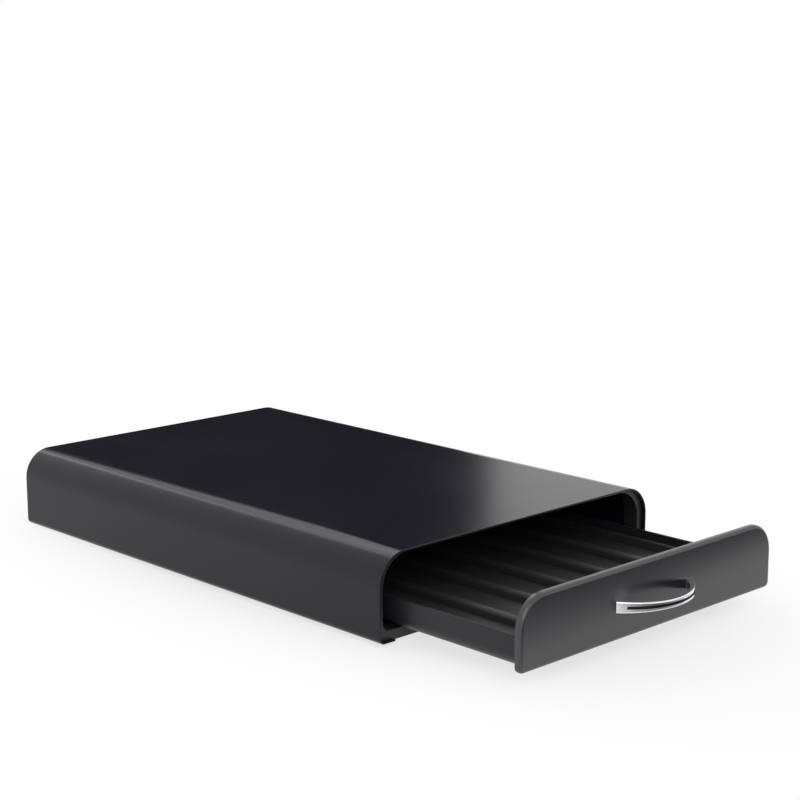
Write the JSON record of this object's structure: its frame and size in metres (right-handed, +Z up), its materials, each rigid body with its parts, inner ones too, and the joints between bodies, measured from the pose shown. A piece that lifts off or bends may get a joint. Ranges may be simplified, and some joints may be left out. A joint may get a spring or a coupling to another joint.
{
  "type": "coffee pod drawer",
  "caption": "Flat black drawer unit for coffee capsules, made to stand under a coffee machine: a folded steel case with a sliding channelled tray and a chrome bow handle.",
  "frame": {"origin": "middle of the case's flat underside; the rubber feet stand 2.5 mm below it", "axes": "+Z up, -Y the way the drawer opens, +X to the right of someone who faces the drawer"},
  "size_m": [0.308, 0.6246, 0.0705],
  "materials": {
    "shell_paint": "smooth satin black powder coat",
    "base_paint": "matt black paint",
    "rail_steel": "black coated steel strip",
    "frame_plastic": "fine matt moulding",
    "front_plastic": "satin moulding, slightly glossy",
    "tray_plastic": "satin moulding",
    "rack_plastic": "fine matt moulding",
    "nylon": "smooth black nylon",
    "rubber": "matt",
    "chrome": "bright polished plating",
    "screw_steel": "dark zinc plating",
    "rivet_metal": "painted dome"
  },
  "bodies": {
    "case": {"outer_shell": "shell_paint", "base_plate": "base_paint", "front_frame": "frame_plastic", "back_cover": "frame_plastic", "left_rail": "rail_steel", "right_rail": "rail_steel", "left_glide": "nylon", "right_glide": "nylon", "left_bumper": "rubber", "right_bumper": "rubber", "foot_front_left": "rubber", "foot_front_right": "rubber", "foot_rear_left": "rubber", "foot_rear_right": "rubber", "base_rivets": "rivet_metal", "rail_screws": "screw_steel", "frame_screws": "screw_steel", "cover_screws": "screw_steel"},
    "drawer": {"tray": "tray_plastic", "pod_rack": "rack_plastic", "rack_ridges": "rack_plastic", "drawer_front": "front_plastic", "handle": "chrome", "left_shoe": "nylon", "right_shoe": "nylon", "front_screws": "screw_steel", "handle_screws": "screw_steel"}
  },
  "joints": [
    {"name": "drawer_slide", "type": "slide", "parent": "case", "child": "drawer", "axis": [0, -1, 0], "range_m": [-0.1306, 0.1894]}
  ]
}
